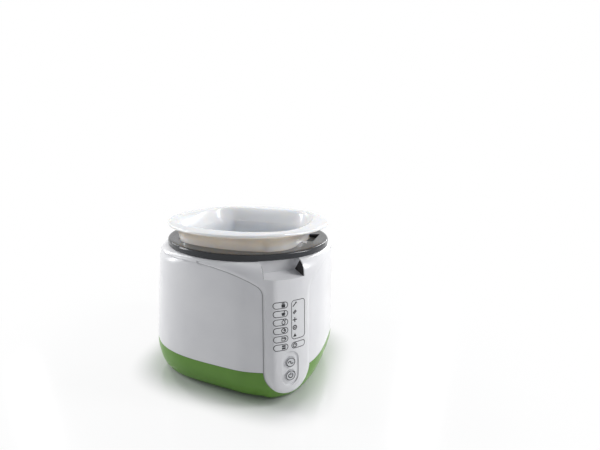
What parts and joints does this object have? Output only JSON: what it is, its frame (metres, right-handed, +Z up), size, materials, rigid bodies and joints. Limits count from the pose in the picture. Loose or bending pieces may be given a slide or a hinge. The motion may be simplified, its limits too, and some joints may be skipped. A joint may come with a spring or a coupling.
{
  "type": "yogurt maker",
  "caption": "Countertop yogurt maker: rounded-square heated housing on a coloured base, with a control panel on its front corner, a dark ring and a lift-out flared milk bowl.",
  "frame": {"origin": "on the floor under the middle of the housing", "axes": "+Z up, -Y toward the user through the corner that carries the control panel, +X to the user's right"},
  "size_m": [0.266, 0.2693, 0.212],
  "materials": {
    "green_base": "satin",
    "white_body": "gloss",
    "dark_ring": "gloss",
    "bowl_white": "gloss",
    "pressed_aluminium": "satin",
    "silicone": "matte",
    "felt": "matte",
    "tube_steel": "satin",
    "sensor_cap": "satin",
    "sheet_steel": "satin",
    "screw_steel": "bright",
    "circuit_board": "satin",
    "coil_wrap": "matte",
    "component_case": "matte",
    "terminal_case": "matte",
    "lamp_lens": "gloss",
    "pane_white": "gloss",
    "key_white": "satin",
    "foot_rubber": "matte",
    "inlet_black": "matte"
  },
  "bodies": {
    "housing": {"base_pan": "green_base", "side_shell": "white_body", "top_cover": "white_body", "notch_cheeks": "dark_ring", "rim_ring": "dark_ring", "inner_well": "pressed_aluminium", "well_gasket": "silicone", "well_felt": "felt", "heater_plate": "pressed_aluminium", "heating_element": "tube_steel", "temperature_sensor": "sensor_cap", "sensor_strap": "sheet_steel", "thermal_fuse": "sensor_cap", "well_carrier": "sheet_steel", "heater_pillars": "sheet_steel", "carrier_screws": "screw_steel", "mains_board": "circuit_board", "mains_screws": "screw_steel", "transformer": "coil_wrap", "relay": "component_case", "capacitor": "component_case", "terminal_block": "terminal_case", "panel_board": "circuit_board", "panel_screws": "screw_steel", "tact_switches": "component_case", "indicator_leds": "lamp_lens", "program_windows": "pane_white", "mode_window": "pane_white", "timer_window": "pane_white", "rubber_feet": "foot_rubber", "cord_inlet": "inlet_black"},
    "bowl": {"milk_bowl": "bowl_white"},
    "select_key": {"select_button": "key_white"},
    "power_key": {"power_button": "key_white"}
  },
  "joints": [
    {"name": "bowl_lift", "type": "slide", "parent": "housing", "child": "bowl", "axis": [0, 0, 1], "range_m": [0, 0.135]},
    {"name": "select_press", "type": "slide", "parent": "housing", "child": "select_key", "axis": [0, 1, 0], "range_m": [0, 0.0008], "stiffness_N_per_m": 900, "springref_m": -0.0004},
    {"name": "power_press", "type": "slide", "parent": "housing", "child": "power_key", "axis": [0, 1, 0], "range_m": [0, 0.0008], "stiffness_N_per_m": 900, "springref_m": -0.0004}
  ]
}
